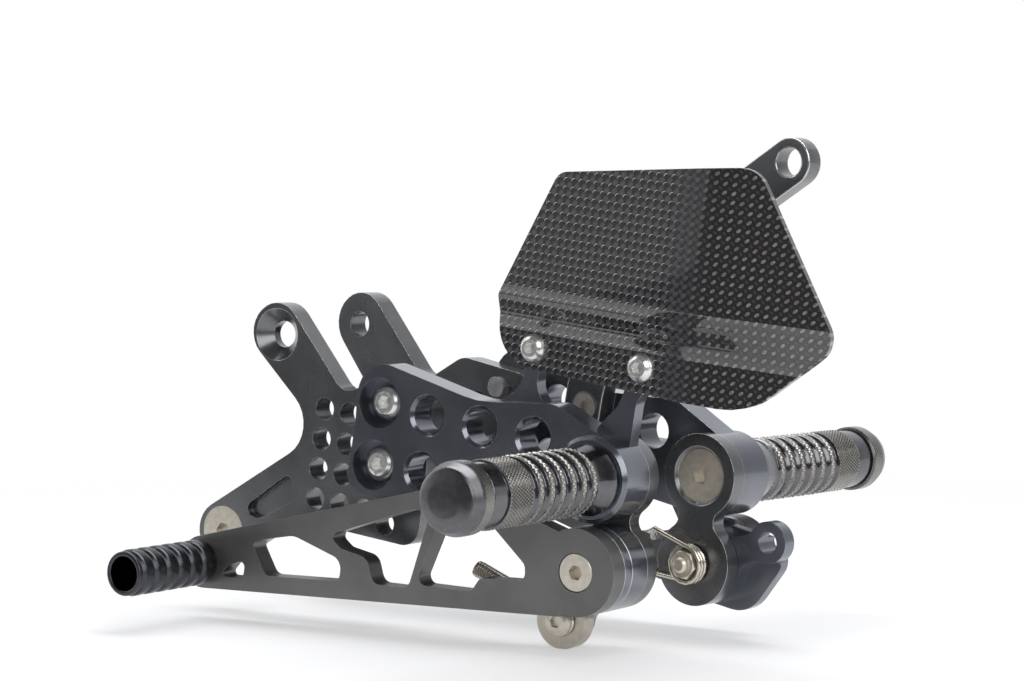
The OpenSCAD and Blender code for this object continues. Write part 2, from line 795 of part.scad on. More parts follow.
// Path of the wire: hook over the pin, coil, then a leg turned outboard into the arm
function spring_path() =
    let (over = pin_at + [-0.4, pin_r + wire_r + 0.4],
        from = leg_angle(over, -1),
        sweep = coil_turns * 360 + wrap(from - leg_angle(leg_at, 1)),
        rise = coil_turns * coil_pitch,
        steps = ceil(sweep / 360 * steps_per_turn),
        bend = 1.2,
        near = leg_at * (1 - bend / norm(leg_at)))
    concat(
        [[over[0] - 3, coil_from + rise, over[1] - 2.2], [over[0] - 0.8, coil_from + rise, over[1] - 0.1]],
        [for (i = [0:steps]) let (a = from - sweep * i / steps)
            [coil_r * cos(a), coil_from + rise * (1 - i / steps), coil_r * sin(a)]],
        [[near[0], coil_from, near[1]],
         [leg_at[0], coil_from - bend, leg_at[1]],
         [leg_at[0], arm_back - 3, leg_at[1]]]);

function heading(path, i) =
    unit(path[min(len(path) - 1, i + 1)] - path[max(0, i - 1)]);

// Part of v square to the unit vector t
function square_to(v, t) = unit(v - (v * t) * t);

// Directions from the wire's centre, carried along the path without a twist
function carried(path) =
    [for (i = 0, s = square_to([0, 1, 0], heading(path, 0)); i < len(path);
        i = i + 1, s = square_to(s, heading(path, min(i, len(path) - 1)))) s];

// Round wire swept along a path, as rings of eight joined into one skin
module wire(path, r) {
    n = len(path);
    first = carried(path);
    points = [for (i = [0:n - 1], k = [0:7])
        path[i] + r * (cos(k * 45) * first[i] + sin(k * 45) * cross(heading(path, i), first[i]))];
    sides = [for (i = [0:n - 2], k = [0:7])
        [i * 8 + k, (i + 1) * 8 + k, (i + 1) * 8 + (k + 1) % 8, i * 8 + (k + 1) % 8]];
    ends = [[for (k = [0:7]) k], [for (k = [7:-1:0]) (n - 1) * 8 + k]];
    polyhedron(points, concat(sides, ends), convexity = 6);
}

module return_spring() {
    color("#c9c3b6") right_half() wire(spring_path(), wire_r);
}

// Pin that holds the spring's fixed leg
module spring_pin() {
    color("#d9dadb") right_half() {
        bar(pin_at, pin_r, bracket_t + 2.2, coil_from + coil_turns * coil_pitch + 1.4);
    }
}

// Hanger arm on the right bracket's inner face, rising to its hanger hole

hanger_t = 8;
hanger_w = 8.8;

function hanger_outline() =
    let (a = [-61.5, 18], b = [-61.5, 62], c = [-12, 131], d = hanger_hole,
        v = unit(d - c), end = atan2(v[1], v[0]))
    concat(
        [[a[0] - hanger_w, a[1], 6], [a[0] + hanger_w, a[1], 6],
         offset_corner(a, b, c, -hanger_w, 26), offset_corner(b, c, d, -hanger_w, 30)],
        round_end(d, end, hanger_w),
        [offset_corner(b, c, d, hanger_w, 40), offset_corner(a, b, c, hanger_w, 40)]);

module hanger_arm() {
    color("#2b2d33") right_half() difference() {
        plate(bracket_t, bracket_t + hanger_t) polygon(rounded(hanger_outline()));
        bar(hanger_hole, frame_hole_r, bracket_t - cut, bracket_t + hanger_t + cut);
        for (t = hanger_screw_at)
            flat_seat(t, m6, bracket_t + hanger_t, hanger_t + cut, -1);
    }
}

module hanger_screws() {
    color("#cfc8ba") right_half() for (t = hanger_screw_at)
        flat_screw(t, m6, bracket_t + hanger_t, hanger_t + 9, -1);
}

left_base_plate();
left_bracket();
left_pivot_plate();
left_bracket_bolts();
left_frame_screw();
left_foot_peg();
left_peg_cap();
left_peg_bolt();
heel_guard();
guard_screws();
shift_lever();
shift_toe_peg();
shift_toe_bolt();
shift_spacer();
shift_arm();
shift_dowels();
shift_bush();
shift_pivot_bolt();
shift_pivot_nut();
rod_end_ball();
rod_end_screw();
rod_end();
right_base_plate();
right_bracket();
right_pivot_plate();
right_bracket_bolts();
right_foot_peg();
right_peg_cap();
right_peg_bolt();
hanger_arm();
hanger_screws();
brake_lever();
brake_toe_peg();
brake_toe_bolt();
brake_spacer();
brake_arm();
brake_dowels();
brake_bush();
brake_pivot_bolt();
brake_pivot_nut();
return_spring();
spring_pin();
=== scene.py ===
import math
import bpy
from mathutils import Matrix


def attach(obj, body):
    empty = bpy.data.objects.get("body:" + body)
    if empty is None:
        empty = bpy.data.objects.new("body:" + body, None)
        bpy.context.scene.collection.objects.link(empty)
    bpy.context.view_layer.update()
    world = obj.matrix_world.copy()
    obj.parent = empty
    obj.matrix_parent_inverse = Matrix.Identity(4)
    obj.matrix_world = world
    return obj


bl_info = {
    "name": "Rear Sets Footrest",
    "version": (1, 0, 0),
    "blender": (4, 5, 0),
    "location": "View3D > Sidebar > Rear Sets",
    "description": "Dresses a pair of motorbike rear sets in anodised aluminium, steel and carbon",
    "category": "Add Mesh",
}

import bmesh
import bpy
from mathutils import Matrix, Vector

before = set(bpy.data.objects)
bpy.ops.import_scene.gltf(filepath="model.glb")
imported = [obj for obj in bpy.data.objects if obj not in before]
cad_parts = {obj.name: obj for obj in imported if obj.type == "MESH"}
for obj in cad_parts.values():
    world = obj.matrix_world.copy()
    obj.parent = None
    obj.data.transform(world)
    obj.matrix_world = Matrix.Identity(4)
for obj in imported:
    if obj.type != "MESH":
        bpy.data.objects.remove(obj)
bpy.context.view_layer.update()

MM = 0.001
# Just above the part's lowest edges, so that it stands in the paper without a gap
FLOOR_Z = -0.1121

# Each half has its own frame: lever pivot at the origin, x to the rear, z up, -y outboard.
# The pair's origin is the left half's upper frame hole, at the base plate's inner face
LEFT_TILT = math.radians(7.8)
RIGHT_TILT = math.radians(11.3)
RIGHT_YAW = math.radians(6.7)
RIGHT_SHIFT = Vector((19.2, 62, -1.1)) * MM
FRAME_HOLE = Vector((-164, 21, 60.3)) * MM
STANCE = Matrix.Rotation(LEFT_TILT, 4, "Y")
LEFT_PIVOT = -(STANCE @ FRAME_HOLE)
HALVES = {
    "left": Matrix.Translation(LEFT_PIVOT) @ STANCE,
    "right": Matrix.Translation(LEFT_PIVOT + RIGHT_SHIFT)
    @ Matrix.Rotation(-RIGHT_YAW, 4, "Z")
    @ Matrix.Rotation(RIGHT_TILT, 4, "Y")
    @ Matrix.Scale(-1, 4, (0, 1, 0)),
}

# Foot peg: axis at the bracket's face, radii, and what is cut into it along that axis
PEG_AT = (-3.5, 0, 32.7)
PEG_R = 12 * MM
CAP_R = 12.7 * MM
RIBS = 6
RIBS_FROM = 17 * MM
RIB_PITCH = 7 * MM
RIB_LAND = (1.2 * MM, 3.6 * MM)
RIB_POINTS = 38
RIB_STEP = 0.8 * MM
RIB_RISE = 0.5 * MM
BAND_RISE = 0.28 * MM
RIM_RISE = 0.06 * MM
KNURL_BAND = (59.5 * MM, 73.8 * MM)
CAP_RIM = (84.9 * MM, 89.7 * MM)
# A knurl starts this far off the turned face, so that the two don't share a surface
KNURL_LIFT = 0.01 * MM

# Threads in sight, in the left half's frame: axis, span along it, core, rise and pitch, in mm
SHANK_ANGLE = math.radians(165)
SHANK_OUT = (math.cos(SHANK_ANGLE), 0, math.sin(SHANK_ANGLE))
ROD_THREAD = ((-11, 3.5, -21.5), SHANK_OUT, (15.7, 41.4), 3.0, 0.26, 1.0)
FRAME_SCREW_THREAD = ((-181, 21, -22.8), (0, 1, 0), (1.0, 20.6), 5.0, 0.3, 1.5)

# Heel guard, in the left half's frame: crease of the wing, and the step's bend in the
# photographed guard and in the solid, from and to
GUARD_CREASE = 22 * MM
CREASE_BLEND = 8 * MM
SOFT_BEND = (79.5 * MM, 98.5 * MM)
STEP_DEPTH = 9.5 * MM
SOLID_BEND = (86 * MM, 93 * MM)
SOLID_DEPTH = 2.5 * MM

# Painted highlights on the scales of the guard's cloth, in tows from a scale's middle. Each
# painted rim is part of a ring that leans to the light; the crossing set's painted rim is fainter,
# and its whole scale gets a little painted sheen
RING_AT = (0.06, 0, -0.1)
RING_R = 0.5
RING_HALF = 1 / 7.5
RING_LIGHT = (-2.0, 0, 2.6)
CROSS_RIM = 0.45
DISC_REACH = (0.3, 0.52)
DISC_PAINTED_SHEEN = 0.36
# On the wing each set shows an oval of painted sheen, with these half sizes across the two
# sets of tows
OVALS = ((0.5, 0.28), (0.24, 0.34))
OVAL_EDGE = (1.05, 0.75)
OVAL_PAINTED_SHEEN = 0.62
CROSS_OVAL = 0.25

# Degrees from which an edge is broken: on machined pieces, and on the guard's moulded sheet
PLATE_ANGLE = 32
GUARD_ANGLE = 25
# The solids come with their corners split, and points this close together are joined again
WELD = 0.004 * MM

# About the period of a wave texture at a scale of 1, in metres
WAVE_PERIOD = 1 / 3.1

# Soft boxes: place, aim, size and watts
MIDDLE = (0.12, 0.02, -0.03)
LAMPS = {
    "Soft box overhead": ((0.1, 0.25, 1.0), MIDDLE, (1.3, 0.5), 11.0),
    "Soft box left": ((-0.9, -0.35, 0.55), MIDDLE, (0.3, 1.1), 3.0),
    "Soft box right": ((1.2, 0.1, 0.6), MIDDLE, (0.35, 1.1), 4.0),
    "Reflector front left": ((-0.5, -0.95, 0.28), (-0.2, -0.5, 0.28), (1.0, 0.6), 0.4),
    "Soft box front right": ((1.1, -0.8, 0.55), MIDDLE, (0.9, 0.9), 7.0),
}
WHITE = (1, 1, 1, 1)
# Light of the room: its colour, the way to its bright side, and how dim the other side is
ROOM_WHITE = (0.96, 0.98, 1, 1)
ROOM_BACK = (-0.55, 0.84, -0.35)
ROOM_DIM = 0.14

# Paper sweep
SHEET_SIZE = 7
SHEET_AT = (0.1, 3.2, FLOOR_Z)
# Where the pair stands on the sheet, seen from the sheet's middle
PAIR_ON_SHEET = (0, -3.15, 0)
# How far from there the sheet turns from its own colour to plain white, and the share of
# white that it starts with
SHADOW_REACH = (0.25, 0.7)
SHADOW_WHITE = 0.4


def srgb(code):
    """Linear colour of an sRGB hex value."""
    parts = [int(code[i : i + 2], 16) / 255 for i in (1, 3, 5)]
    return tuple(
        c / 12.92 if c <= 0.04045 else ((c + 0.055) / 1.055) ** 2.4 for c in parts
    )


def colour(text, code):
    """A colour property whose default is an sRGB hex value."""
    return bpy.props.FloatVectorProperty(
        name=text,
        description=f"{text}, as a linear colour",
        subtype="COLOR",
        size=3,
        min=0,
        max=1,
        default=srgb(code),
    )


def length(text, about, metres):
    """A length property in metres."""
    return bpy.props.FloatProperty(
        name=text,
        description=about,
        default=metres,
        min=0,
        max=1,
        precision=5,
        subtype="DISTANCE",
        unit="LENGTH",
    )


def angle(text, about, degrees):
    """An angle property whose default is given in degrees."""
    return bpy.props.FloatProperty(
        name=text,
        description=about,
        default=math.radians(degrees),
        subtype="ANGLE",
    )


class RearSetFinish(bpy.types.PropertyGroup):
    """Colours of the pair's metals."""

    plate: colour("Plate anodising", "#737476")
    bracket: colour("Bracket anodising", "#74777f")
    lever: colour("Lever anodising", "#737373")
    peg: colour("Peg anodising", "#69696c")
    toe: colour("Toe peg anodising", "#4a4b4f")
    knurl: colour("Knurl anodising", "#85827e")
    edge: colour("Chamfered edge", "#c6c7ca")
    stainless: colour("Polished stainless", "#e4e4e1")
    plated: colour("Plated screw steel", "#d6cfc1")
    rod: colour("Rod end steel", "#b9b2a6")


class RearSetSizes(bpy.types.PropertyGroup):
    """Sizes of the fine detail."""

    edge_break: length("Edge break", "Width of the broken edges on plates", 0.0006)
    screw_break: length("Screw edge break", "Width of the broken edges on screws", 0.0002)
    guard_round: length("Guard edge round", "Width of the round on the guard's edges", 0.0011)
    knurl: length("Knurl pitch", "Pitch of the diamond knurl round the foot pegs", 0.00125)
    tow: length("Carbon tow", "Width of one tow in the guard's cloth", 0.00224)


class RearSetStage(bpy.types.PropertyGroup):
    """Floor and camera."""

    floor: colour("Floor", "#f4f4f6")
    lens: bpy.props.FloatProperty(
        name="Lens",
        description="Focal length of the camera on a 36 mm sensor",
        default=88.38,
        min=20,
        max=300,
        unit="CAMERA",
    )
    place: bpy.props.FloatVectorProperty(
        name="Camera place",
        description="Where the camera stands",
        default=(0.6243, -0.7957, 0.0318),
        subtype="TRANSLATION",
        unit="LENGTH",
    )
    turn: angle("Camera turn", "Heading of the camera about the vertical", 33.09)
    tilt: angle("Camera tilt", "Angle of the camera from straight down", 88.04)


# Materials


def node(tree, kind, inputs, **settings):
    """Adds a node with its settings; an input takes a value, a socket or a node's output."""
    added = tree.nodes.new(kind)
    for key, value in settings.items():
        setattr(added, key, value)
    for key, source in inputs.items():
        if isinstance(source, bpy.types.Node):
            source = next(socket for socket in source.outputs if socket.enabled)
        if isinstance(source, bpy.types.NodeSocket):
            tree.links.new(source, added.inputs[key])
        else:
            added.inputs[key].default_value = source
    return added


def new_material(name):
    """An empty node material, its tree and the coordinates of its object."""
    material = bpy.data.materials.new(name)
    material.use_nodes = True
    tree = material.node_tree
    tree.nodes.clear()
    place = node(tree, "ShaderNodeTexCoord", {}).outputs["Object"]
    return material, tree, place


def rgba(rgb):
    return (*rgb, 1.0)


def uneven(tree, place, base, tint, patch, detail):
    """A noise with patches of that size, and the base colour a little uneven by it."""
    cloud = node(
        tree, "ShaderNodeTexNoise", {"Vector": place, "Scale": 1 / patch, "Detail": detail}
    )
    share = node(tree, "ShaderNodeMapRange", {"Value": cloud, "From Min": 0.3, "From Max": 0.7})
    low, high = (rgba([min(1, c * k) for c in base]) for k in (1 - tint, 1 + tint))
    # 6 and 7 are the colours of a Mix node
    shade = node(tree, "ShaderNodeMix", {"Factor": share, 6: low, 7: high}, data_type="RGBA")
    return cloud, shade


def anodised(name, base, rough, grain, coat):
    """Milled and anodised aluminium, with an etched grain of that size."""
    # The dye sits under a hard clear oxide: dark, with a soft metallic sheen and a fine
    # matt grain left by the acid etch, a little uneven from cutter passes
    material, tree, place = new_material(name)
    cloud, shade = uneven(tree, place, base, 0.12, 18.18 * MM, 3.0)
    gloss = node(
        tree,
        "ShaderNodeMapRange",
        {"Value": cloud, "To Min": rough - 0.05, "To Max": rough + 0.06},
    )
    # Etch grain is about 0.05 mm; it is drawn coarser, so that it shows
    etch = node(
        tree, "ShaderNodeTexNoise", {"Vector": place, "Scale": 1 / grain, "Detail": 2.0}
    )
    bump = node(
        tree, "ShaderNodeBump", {"Height": etch, "Strength": 0.025, "Distance": 0.05 * MM}
    )
    metal = node(
        tree,
        "ShaderNodeBsdfPrincipled",
        {
            "Base Color": shade,
            "Metallic": 0.88,
            "Roughness": gloss,
            "Normal": bump,
            "Coat Weight": coat,
            "Coat Roughness": 0.16,
        },
    )
    node(tree, "ShaderNodeOutputMaterial", {"Surface": metal})
    return material


def machined(name, base, rough, ring, axis, metallic=1.0):
    """Turned metal with fine tool rings of that pitch along an axis."""
    # A lathe tool leaves rings that stretch each highlight across the cut
    material, tree, place = new_material(name)
    spots, shade = uneven(tree, place, base, 0.1, 2.381 * MM, 4.0)
    gloss = node(
        tree,
        "ShaderNodeMapRange",
        {"Value": spots, "To Min": rough - 0.05, "To Max": rough + 0.08},
    )
    # A feed of 0.1 mm is too fine to show, so the rings are drawn at the given pitch
    rings = node(
        tree,
        "ShaderNodeTexWave",
        {"Vector": place, "Scale": WAVE_PERIOD / ring, "Distortion": 0.4},
        wave_type="BANDS",
        bands_direction=axis,
    )
    bump = node(
        tree,
        "ShaderNodeBump",
        {"Height": rings.outputs["Fac"], "Strength": 0.08, "Distance": 0.04 * MM},
    )
    metal = node(
        tree,
        "ShaderNodeBsdfPrincipled",
        {"Base Color": shade, "Metallic": metallic, "Roughness": gloss, "Normal": bump},
    )
    node(tree, "ShaderNodeOutputMaterial", {"Surface": metal})
    return material


def painted_weave_light(tree, place, own, tow):
    """The light painted into the cloth's colour on its scales, and the crown of each tow."""
    maths, vector, span = "ShaderNodeMath", "ShaderNodeVectorMath", "ShaderNodeMapRange"
    # X and Z run along the two sets of tows, in tows
    eighth = math.radians(45)
    woven = node(
        tree,
        "ShaderNodeMapping",
        {"Vector": place, "Rotation": (0, eighth - LEFT_TILT, 0), "Scale": [1 / tow] * 3},
    )
    # The cloth's plain weave: 0 where the one set lies on top, 1 where the other does
    cell = node(tree, vector, {0: woven}, operation="FLOOR")
    count = node(tree, vector, {0: cell, 1: (1, 0, 1)}, operation="DOT_PRODUCT")
    weft = node(tree, maths, {0: count, 1: 2.0}, operation="FLOORED_MODULO")
    # From a scale's middle, to the right and up; mirrored on the crossing set
    part = node(tree, vector, {0: woven}, operation="FRACTION")
    spot = node(tree, vector, {0: part, 1: [0.5] * 3}, operation="SUBTRACT")
    turned = node(tree, "ShaderNodeMapping", {"Vector": spot, "Rotation": (0, -eighth, 0)})
    upright = node(tree, "ShaderNodeSeparateXYZ", {0: turned})
    side = node(tree, maths, {0: weft, 1: -2.0, 2: 1.0}, operation="MULTIPLY_ADD")
    right = node(tree, maths, {0: upright.outputs["X"], 1: side}, operation="MULTIPLY")
    scale = node(tree, "ShaderNodeCombineXYZ", {"X": right, "Z": upright.outputs["Z"]})
    # Painted highlight on the rim of the scale: part of a thin ring, upper left on one set, upper
    # right on the other
    radius = node(tree, vector, {0: scale, 1: RING_AT}, operation="DISTANCE")
    off = node(tree, maths, {0: radius, 1: RING_R}, operation="SUBTRACT")
    away = node(tree, maths, {0: off}, operation="ABSOLUTE")
    ring = node(tree, span, {"Value": away, "From Max": RING_HALF, "To Min": 1.0, "To Max": 0.0})
    lean = node(tree, vector, {0: scale, 1: RING_LIGHT}, operation="DOT_PRODUCT")
    facing = node(tree, "ShaderNodeClamp", {"Value": lean})
    arc = node(tree, maths, {0: ring, 1: facing}, operation="MULTIPLY")
    share = node(tree, maths, {0: weft, 1: CROSS_RIM - 1, 2: 1.0}, operation="MULTIPLY_ADD")
    rim = node(tree, maths, {0: arc, 1: share}, operation="MULTIPLY")
    # The crossing set gets a little painted sheen over its whole scale
    inner, outer = DISC_REACH
    reach = {"From Min": inner, "From Max": outer, "To Min": DISC_PAINTED_SHEEN, "To Max": 0.0}
    disc = node(tree, span, {"Value": radius, **reach})
    shine = node(tree, maths, {0: disc, 1: weft}, operation="MULTIPLY")
    front = node(tree, maths, {0: rim, 1: shine}, operation="MAXIMUM")
    # On the wing the first set shows a slanting oval of painted sheen and the crossing one hardly
    # any; 4 and 5 are the vectors of a Mix node
    first, second = ((1 / a, 0, 1 / b) for a, b in OVALS)
    either = {"Factor": weft, 4: first, 5: second}
    ovals = node(tree, "ShaderNodeMix", either, data_type="VECTOR")
    shaped = node(tree, vector, {0: spot, 1: ovals}, operation="MULTIPLY")
    oval = node(tree, vector, {0: shaped}, operation="LENGTH")
    outer, inner = OVAL_EDGE
    reach = {"From Min": outer, "From Max": inner, "To Min": 0.0, "To Max": OVAL_PAINTED_SHEEN}
    face = node(tree, span, {"Value": oval, **reach}, interpolation_type="SMOOTHSTEP")
    share = node(tree, maths, {0: weft, 1: CROSS_OVAL - 1, 2: 1.0}, operation="MULTIPLY_ADD")
    rear = node(tree, maths, {0: face, 1: share}, operation="MULTIPLY")
    # Ahead of the crease the painted rim highlights, on the wing the painted ovals
    low, high = GUARD_CREASE - CREASE_BLEND, GUARD_CREASE + CREASE_BLEND
    wing = node(tree, span, {"Value": own.outputs["X"], "From Min": low, "From Max": high})
    lit = node(tree, "ShaderNodeMix", {"Factor": wing, "A": front, "B": rear})
    # A fibre is 0.007 mm thick, too fine to show, so bundles of 1.1 mm are drawn as streaks in the
    # painted light
    bundle = {"Vector": place, "Scale": 1 / (1.1111 * MM), "Detail": 3.0}
    fibres = node(tree, "ShaderNodeTexNoise", bundle)
    streak = node(tree, span, {"Value": fibres, "To Min": 0.7, "To Max": 1.3})
    light = node(tree, maths, {0: lit, 1: streak}, operation="MULTIPLY")
    # A tow is highest along its middle, and lowest where it dives under the next
    square = node(tree, vector, {0: spot, 1: spot}, operation="MULTIPLY")
    fall = node(tree, vector, {0: square, 1: [-4.0] * 3, 2: [1.0] * 3}, operation="MULTIPLY_ADD")
    falls = node(tree, "ShaderNodeSeparateXYZ", {0: fall})
    both = {0: falls.outputs["X"], 1: falls.outputs["Z"]}
    crown = node(tree, maths, both, operation="MULTIPLY")
    return light, crown


def carbon(name, tow):
    """Carbon fibre, woven plain, laid at 45 degrees and lacquered."""
    # Flat tows cross over and under, and each shows as a small dark scale. Ahead of the
    # crease a highlight on the rim of every scale, behind it a sheen over the whole face of one
    # set, is painted into the colour, and the clear lacquer lays a sharp reflection over both
    material, tree, place = new_material(name)
    # Place in the left half's own frame, so that the cloth follows the guard's own edges
    stance = {"Rotation": (0, -LEFT_TILT, 0), "Location": (FRAME_HOLE.x, 0, FRAME_HOLE.z)}
    leant = node(tree, "ShaderNodeMapping", {"Vector": place, **stance})
    own = node(tree, "ShaderNodeSeparateXYZ", {0: leant})
    light, crown = painted_weave_light(tree, place, own, tow)
    # The painted light picks the cloth's colour, from the dark tow up to a white painted highlight
    shade = node(tree, "ShaderNodeValToRGB", {"Fac": light})
    stops = shade.color_ramp.elements
    stops.new(0.3)
    stops.new(0.62)
    for stop, code in zip(stops, ("#1f1e21", "#4d4c50", "#766e67", "#ffffff")):
        stop.color = rgba(srgb(code))
    # The moulded step bends over a wider S than its two faces do, so the lacquer shows
    # the paper below in two bands with the dark bracket between them
    bends = []
    for (low, high), depth, curve in (
        (SOFT_BEND, STEP_DEPTH, "SMOOTHSTEP"),
        (SOLID_BEND, SOLID_DEPTH, "LINEAR"),
    ):
        reach = {"From Min": low, "From Max": high, "To Min": 0.0, "To Max": depth}
        values = {"Value": own.outputs["Z"], **reach}
        bends.append(node(tree, "ShaderNodeMapRange", values, interpolation_type=curve))
    rise = node(tree, "ShaderNodeMath", dict(enumerate(bends)), operation="SUBTRACT")
    swell = node(tree, "ShaderNodeBump", {"Height": rise, "Strength": 1.0, "Distance": 1.0})
    bump = node(
        tree,
        "ShaderNodeBump",
        {"Height": crown, "Strength": 0.3, "Distance": 0.12 * MM, "Normal": swell},
    )
    lacquered = node(
        tree,
        "ShaderNodeBsdfPrincipled",
        {
            "Base Color": shade,
            "Roughness": 0.6,
            "Normal": bump,
            "Specular IOR Level": 0.1,
            "Coat Weight": 1.0,
            "Coat Roughness": 0.03,
            "Coat IOR": 1.85,
            "Coat Normal": swell,
        },
    )
    node(tree, "ShaderNodeOutputMaterial", {"Surface": lacquered})
    return material


def paper(name, base):
    """Matt white paper sweep, lit to plain white away from the object's shadow."""
    # Uncoated paper scatters light evenly and has no shine of its own
    material, tree, place = new_material(name)
    _, shade = uneven(tree, place, base, 0.01, 500 * MM, 2.0)
    sheet = node(tree, "ShaderNodeBsdfPrincipled", {"Base Color": shade, "Roughness": 0.6})
    far = node(tree, "ShaderNodeVectorMath", {0: place, 1: PAIR_ON_SHEET}, operation="DISTANCE")
    near, clear = SHADOW_REACH
    fade = node(
        tree,
        "ShaderNodeMapRange",
        {"Value": far, "From Min": near, "From Max": clear, "To Min": SHADOW_WHITE},
    )
    path = node(tree, "ShaderNodeLightPath", {})
    seen = path.outputs["Is Camera Ray"]
    for ray in ("Is Glossy Ray", "Is Transmission Ray"):
        either = {0: seen, 1: path.outputs[ray]}
        seen = node(tree, "ShaderNodeMath", either, operation="MAXIMUM")
    amount = node(tree, "ShaderNodeMath", {0: seen, 1: fade}, operation="MULTIPLY")
    white = node(tree, "ShaderNodeEmission", {"Color": WHITE, "Strength": 1.0})
    mix = node(tree, "ShaderNodeMixShader", {0: amount, 1: sheet, 2: white})
    node(tree, "ShaderNodeOutputMaterial", {"Surface": mix})
    return material


# Shapes


def dress(names, material, edge, width, degrees=PLATE_ANGLE):
    """Gives CAD nodes their material and breaks their sharp edges."""
    for name in names:
        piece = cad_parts[name]
        piece.data.materials.clear()
        piece.data.materials.append(material)
        piece.data.materials.append(edge or material)
        for polygon in piece.data.polygons:
            polygon.use_smooth = True
        weld = piece.modifiers.new("Joined corners", "WELD")
        weld.merge_threshold = WELD
        if width > 0:
            bevel = piece.modifiers.new("Edge break", "BEVEL")
            bevel.width = width
            bevel.segments = 2
            bevel.limit_method = "ANGLE"
            bevel.angle_limit = math.radians(degrees)
            bevel.material = 1
            bevel.harden_normals = True
            bevel.use_clamp_overlap = True
        smooth = piece.modifiers.new("Even shading", "WEIGHTED_NORMAL")
        smooth.keep_sharp = True
        smooth.weight = 60


def new_piece(name, mesh, material, body):
    """An object from a bmesh, with its material, riding on a body."""
    data = bpy.data.meshes.new(name)
    mesh.to_mesh(data)
    mesh.free()
    data.materials.append(material)
    piece = bpy.data.objects.new(name, data)
    bpy.context.collection.objects.link(piece)
    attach(piece, body)
    return piece


def axis_of(half, at, out):
    """Start and direction of an axis given in a half's own frame, in millimetres."""
    start = HALVES[half] @ (Vector(at) * MM)
    return start, (HALVES[half].to_3x3() @ Vector(out)).normalized()


def ring_frame(axis):
    """Two unit vectors square to an axis and to each other."""
    across = axis.cross(Vector((0, 0, 1))).normalized()
    return across, across.cross(axis)


def knurl_band(mesh, start, axis, span, radius, rise, around, step):
    """Diamond points round an axis, between two distances along it."""
    across, up = ring_frame(axis)
    low, high = span
    radius += KNURL_LIFT
    rows = max(2, round((high - low) / step))
    step = (high - low) / rows
    grid = []
    for j in range(rows + 1):
        row = []
        for i in range(2 * around):
            turn = math.pi * i / around
            point = (i + j) % 2 and 0 < j < rows
            r = radius + (rise if point else 0)
            out = across * math.cos(turn) + up * math.sin(turn)
            row.append(mesh.verts.new(start + axis * (low + j * step) + out * r))
        grid.append(row)
    for j in range(rows):
        for i in range(2 * around):
            a, b = grid[j][i], grid[j][(i + 1) % (2 * around)]
            d, c = grid[j + 1][i], grid[j + 1][(i + 1) % (2 * around)]
            # Each square is cut along the groove, from valley to valley
            if (i + j) % 2:
                mesh.faces.new((a, b, d))
                mesh.faces.new((b, c, d))
            else:
                mesh.faces.new((a, b, c))
                mesh.faces.new((a, c, d))


def thread_ridge(name, at, out, span, radius, rise, pitch, material, body):
    """A helical V ridge round an axis of the left half, as a piece that rides a body."""
    start, axis = axis_of("left", at, out)
    across, up = ring_frame(axis)
    low, high = span
    steps = 24
    # Flanks and crest along the axis in pitches, and out from the core
    profile = ((-0.42, 0.0), (-0.08, rise), (0.08, rise), (0.42, 0.0))
    mesh = bmesh.new()
    last = None
    for i in range(round((high - low - pitch) / pitch * steps) + 1):
        turn = 2 * math.pi * i / steps
        side = across * math.cos(turn) + up * math.sin(turn)
        along = low + pitch / 2 + pitch * i / steps
        row = []
        for p, r in profile:
            offset = axis * (along + p * pitch) + side * (radius + r)
            row.append(mesh.verts.new(start + offset * MM))
        if last:
            for k in range(3):
                mesh.faces.new((last[k], last[k + 1], row[k + 1], row[k]))
        last = row
    return new_piece(name, mesh, material, body)


# Operators


def looks():
    return bpy.context.scene.rear_set_finish


def sizes():
    return bpy.context.scene.rear_set_sizes


def made(name, build, **values):
    """The material of that name, built on first use."""
    return bpy.data.materials.get(name) or build(name, **values)


def edge_material():
    # A chamfer is cut last, so it shows as a brighter and smoother line round each plate
    return made(
        "Aluminium, chamfered and anodised",
        anodised,
        base=looks().edge,
        rough=0.18,
        grain=0.5 * MM,
        coat=0.3,
    )


def stainless():
    # Polished heads mirror the room, with hard white spots from the soft boxes
    return made(
        "Stainless steel, polished",
        machined,
        base=looks().stainless,
        rough=0.21,
        ring=0.5 * MM,
        axis="Y",
        metallic=0.85,
    )


def plated():
    # Nickel is warmer than bare steel, and the brushed heads under it keep it satin
    return made(
        "Steel, nickel plated and brushed",
        machined,
        base=looks().plated,
        rough=0.3,
        ring=0.5 * MM,
        axis="Z",
        metallic=0.7,
    )


class REARSETS_OT_plates(bpy.types.Operator):
    """Base plates, pivot plates and hanger arm in milled black anodised aluminium"""

    bl_idname = "rearsets.plates"
    bl_label = "Plates"

    def execute(self, context):
        plate = anodised(
            "Aluminium, milled and black anodised",
            base=looks().plate,
            rough=0.27,
            grain=0.35 * MM,
            coat=0.3,
        )
        names = [f"{side}_{kind}_plate" for kind in ("base", "pivot") for side in HALVES]
        dress([*names, "hanger_arm"], plate, edge_material(), sizes().edge_break)
        return {"FINISHED"}


class REARSETS_OT_brackets(bpy.types.Operator):
    """Bracket plates in satin blue-black anodised aluminium"""

    bl_idname = "rearsets.brackets"
    bl_label = "Brackets"

    def execute(self, context):
        bracket = anodised(
            "Aluminium, satin anodised blue-black",
            base=looks().bracket,
            rough=0.2,
            grain=0.35 * MM,
            coat=0.3,
        )
        dress(["left_bracket", "right_bracket"], bracket, edge_material(), sizes().edge_break)
        return {"FINISHED"}


